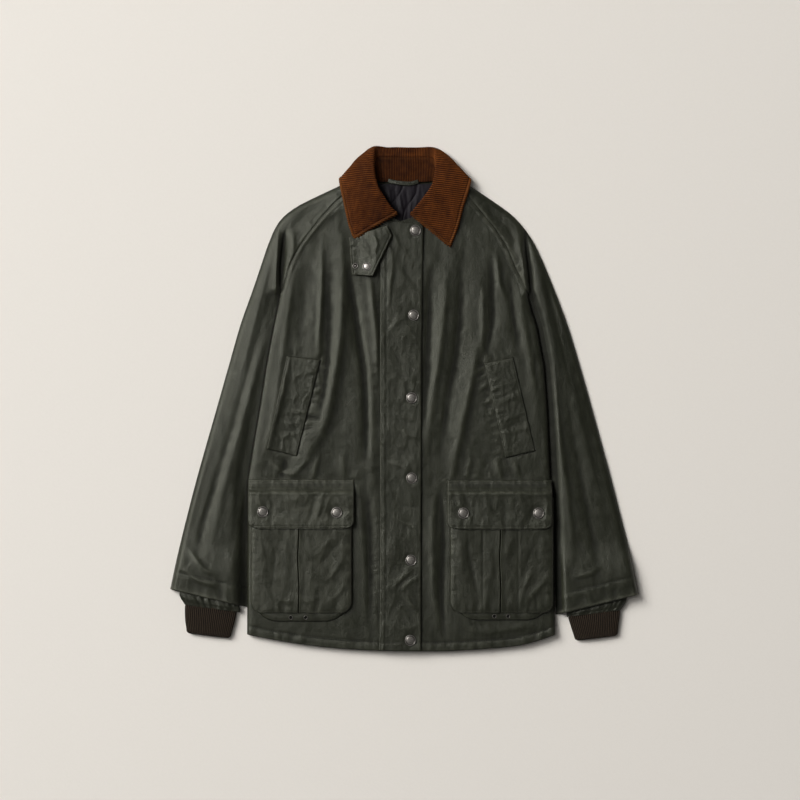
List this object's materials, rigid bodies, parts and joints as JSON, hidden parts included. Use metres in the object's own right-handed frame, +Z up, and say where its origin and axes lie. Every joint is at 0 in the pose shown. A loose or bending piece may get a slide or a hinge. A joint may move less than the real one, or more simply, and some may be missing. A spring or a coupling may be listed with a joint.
{
  "type": "waxed-cotton field jacket laid flat",
  "caption": "Long waxed-cotton field jacket laid flat and buttoned, with a turned-down corduroy collar, snap placket, bellows pockets and rib-knit storm cuffs.",
  "frame": {"origin": "centre of the laid-out jacket in plan, on the surface it lies on", "axes": "+X to the wearer's left (the right-hand side seen from above), +Y towards the collar, +Z up out of the front of the jacket"},
  "size_m": [0.726, 0.7813, 0.0245],
  "materials": {
    "waxed_cotton": "waxed cotton with a dull sheen",
    "cuff_cloth": "soft dark olive cotton, gathered",
    "corduroy": "brown cotton corduroy, fine wales",
    "quilted_lining": "dark quilted lining",
    "rib_knit": "brown-black rib knit",
    "snap_metal": "aged, half-polished",
    "eyelet_metal": "dark, aged"
  },
  "bodies": {
    "root": {"back": "waxed_cotton", "collar_fall": "corduroy", "collar_stand": "corduroy", "cuff_band_left": "cuff_cloth", "cuff_band_right": "cuff_cloth", "eyelet_left_1": "eyelet_metal", "eyelet_left_2": "eyelet_metal", "eyelet_right_1": "eyelet_metal", "eyelet_right_2": "eyelet_metal", "flap_left": "waxed_cotton", "flap_right": "waxed_cotton", "front_left": "waxed_cotton", "front_right": "waxed_cotton", "hanger_loop": "waxed_cotton", "lining_neck": "quilted_lining", "placket": "waxed_cotton", "pocket_gusset_left": "waxed_cotton", "pocket_gusset_right": "waxed_cotton", "pocket_left": "waxed_cotton", "pocket_right": "waxed_cotton", "rib_cuff_left": "rib_knit", "rib_cuff_right": "rib_knit", "sleeve_left_back": "waxed_cotton", "sleeve_left_front": "waxed_cotton", "sleeve_right_back": "waxed_cotton", "sleeve_right_front": "waxed_cotton", "snap_flap_left_1": "snap_metal", "snap_flap_left_2": "snap_metal", "snap_flap_right_1": "snap_metal", "snap_flap_right_2": "snap_metal", "snap_latch": "snap_metal", "snap_placket_1": "snap_metal", "snap_placket_2": "snap_metal", "snap_placket_3": "snap_metal", "snap_placket_4": "snap_metal", "snap_placket_5": "snap_metal", "snap_placket_6": "snap_metal", "stud_latch": "snap_metal", "throat_latch": "waxed_cotton", "welt_left": "waxed_cotton", "welt_right": "waxed_cotton"}
  },
  "joints": []
}
